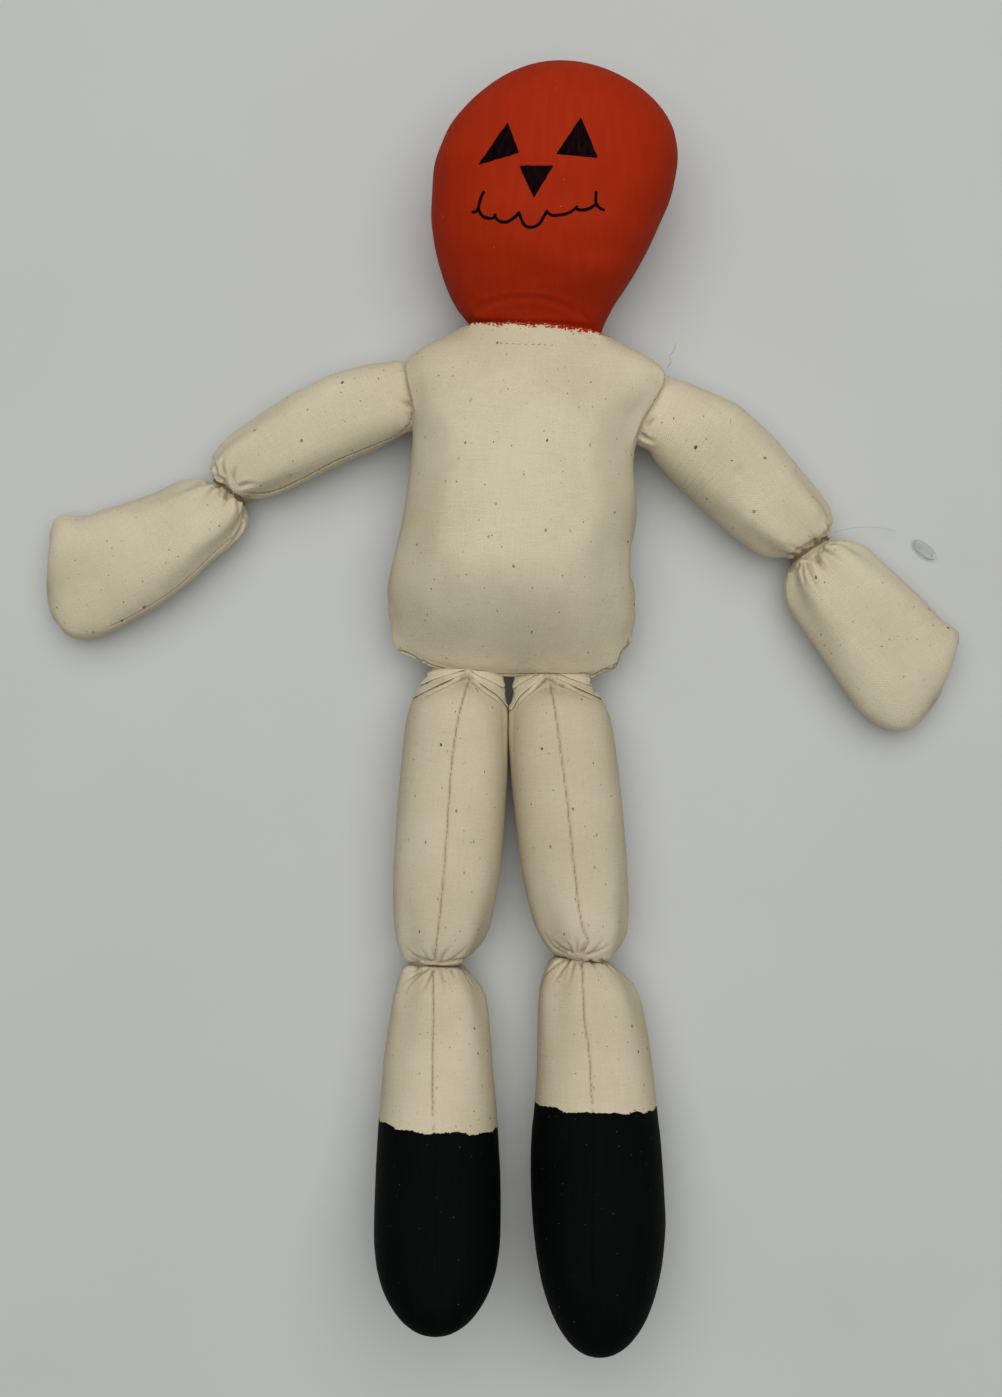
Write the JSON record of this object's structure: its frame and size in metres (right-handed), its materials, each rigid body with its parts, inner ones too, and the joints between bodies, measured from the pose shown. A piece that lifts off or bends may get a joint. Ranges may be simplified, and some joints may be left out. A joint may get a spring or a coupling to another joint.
{
  "type": "pumpkin head rag doll",
  "caption": "Stuffed calico rag doll with a round orange head and a jack-o'-lantern face, mitten hands, thread-tied elbows and knees, and black painted boots.",
  "frame": {"origin": "on the table under the middle of the torso, where the doll's back rests", "axes": "+Z out of the doll's front, away from the table; +Y from the feet to the head; +X to the doll's left hand"},
  "size_m": [0.3287, 0.4516, 0.0663],
  "materials": {
    "calico_cloth": "unbleached plain-weave cotton with seed flecks, matte",
    "orange_paint": "orange-red craft acrylic brushed on cotton, low sheen",
    "black_paint": "bluish black craft acrylic brushed on cotton, matte and dusty",
    "marker_ink": "black marker drawn over the paint",
    "cotton_thread": "twisted cotton sewing thread, matte",
    "clear_plastic": "clear moulded polypropylene"
  },
  "bodies": {
    "root": {"head": "orange_paint", "torso": "calico_cloth", "arm_left": "calico_cloth", "arm_right": "calico_cloth", "leg_left": "calico_cloth", "leg_right": "calico_cloth", "elbow_wrap_left": "cotton_thread", "elbow_wrap_right": "cotton_thread", "knee_wrap_left": "cotton_thread", "knee_wrap_right": "cotton_thread", "tag_fastener": "clear_plastic"}
  },
  "joints": []
}
